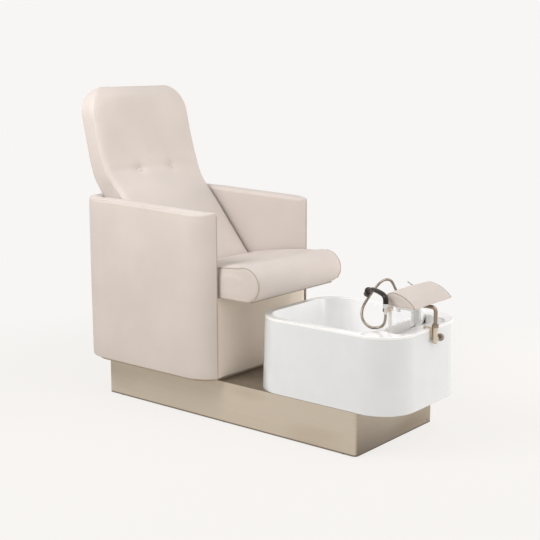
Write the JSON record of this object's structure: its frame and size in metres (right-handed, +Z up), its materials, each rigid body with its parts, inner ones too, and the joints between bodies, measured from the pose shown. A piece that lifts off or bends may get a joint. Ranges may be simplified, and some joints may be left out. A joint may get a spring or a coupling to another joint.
{
  "type": "pedicure spa chair",
  "caption": "Padded pedicure armchair on a steel plinth, with a glossy foot basin, a clamped swivelling footrest, a mixer tap with a side hose and a hand shower in a holder.",
  "frame": {"origin": "on the floor under the middle of the whole chair's box", "axes": "+Z up, -Y the way the sitter faces, towards the foot basin and footrest, +X towards the sitter's left, the side of the mixer tap"},
  "size_m": [0.68, 1.5286, 1.2641],
  "materials": {
    "upholstery": "satin",
    "acrylic": "gloss",
    "champagne_steel": "satin",
    "deck": "matte",
    "frame_steel": "satin",
    "rubber": "matte",
    "chrome": "polished",
    "pale_plastic": "gloss",
    "pipe_plastic": "satin",
    "dark_plastic": "gloss",
    "spray_plastic": "satin",
    "hose_sheath": "satin",
    "braid": "satin",
    "board": "matte"
  },
  "bodies": {
    "chair": {"frame_side_rails": "frame_steel", "frame_crossbars": "frame_steel", "frame_posts": "frame_steel", "levelling_feet": "rubber", "foot_locknuts": "frame_steel", "front_side_skirt": "champagne_steel", "far_side_skirt": "champagne_steel", "rear_skirt": "champagne_steel", "skirt_screws": "champagne_steel", "deck_panel": "deck", "tub_shell": "acrylic", "tub_basin": "acrylic", "tub_pads": "rubber", "drain_flange": "chrome", "drain_seal": "rubber", "drain_nut": "pipe_plastic", "waste_pipe": "pipe_plastic", "base_board": "board", "body_board": "board", "body_wrap": "upholstery", "front_apron": "upholstery", "seat_battens": "board", "seat_board": "board", "seat_cushion": "upholstery", "back_board": "board", "back_brackets": "frame_steel", "back_cushion": "upholstery", "back_buttons": "upholstery", "clamp_bracket": "chrome", "hook_pad": "rubber", "clamp_bolts": "chrome", "mixer_body": "chrome", "mixer_nut": "chrome", "supply_hoses": "braid", "inlet_nipples": "chrome", "holder_post": "pale_plastic", "holder_cradle": "pale_plastic", "shower_hose": "hose_sheath"},
    "footrest_column": {"bar_collar": "chrome"},
    "footrest": {"footrest_bar": "chrome", "footrest_plate": "frame_steel", "plate_screws": "frame_steel", "footrest_cushion": "upholstery"},
    "clamp_knob_unit": {"clamp_knob": "dark_plastic", "clamp_screw": "chrome"},
    "tap_cartridge": {"mixer_cartridge": "chrome"},
    "tap_lever": {"mixer_lever": "chrome"},
    "tap_spout": {"mixer_spout": "chrome"},
    "drain_stopper": {"drain_plug": "chrome"},
    "handset": {"handset_body": "dark_plastic", "spray_face": "spray_plastic", "hose_cone_nut": "chrome"}
  },
  "joints": [
    {"name": "footrest_height", "type": "slide", "parent": "chair", "child": "footrest_column", "axis": [0, 0, 1], "range_m": [0, 0.04]},
    {"name": "footrest_swivel", "type": "hinge", "parent": "footrest_column", "child": "footrest", "pos_m": [0, -0.748, 0.45], "axis": [0, 0, 1], "range_deg": [-90, 0]},
    {"name": "clamp_knob_turn", "type": "hinge", "parent": "chair", "child": "clamp_knob_unit", "pos_m": [0.038, -0.748, 0.406], "axis": [1, 0, 0], "range_deg": [0, 270]},
    {"name": "tap_temperature", "type": "hinge", "parent": "chair", "child": "tap_cartridge", "pos_m": [0.128, -0.59, 0.534], "axis": [0, 0, 1], "range_deg": [-45, 45]},
    {"name": "tap_flow", "type": "hinge", "parent": "tap_cartridge", "child": "tap_lever", "pos_m": [0.1391, -0.6042, 0.5415], "axis": [0.788, 0.6157, 0], "range_deg": [0, 20]},
    {"name": "spout_turn", "type": "hinge", "parent": "chair", "child": "tap_spout", "pos_m": [0.128, -0.59, 0.467], "axis": [0, 0, 1], "range_deg": [-45, 60]},
    {"name": "drain_lift", "type": "slide", "parent": "chair", "child": "drain_stopper", "axis": [0, 0, 1], "range_m": [0, 0.012]},
    {"name": "handset_lift", "type": "slide", "parent": "chair", "child": "handset", "axis": [0, 0, 1], "range_m": [0, 0.12], "deforming": ["shower_hose"]}
  ]
}
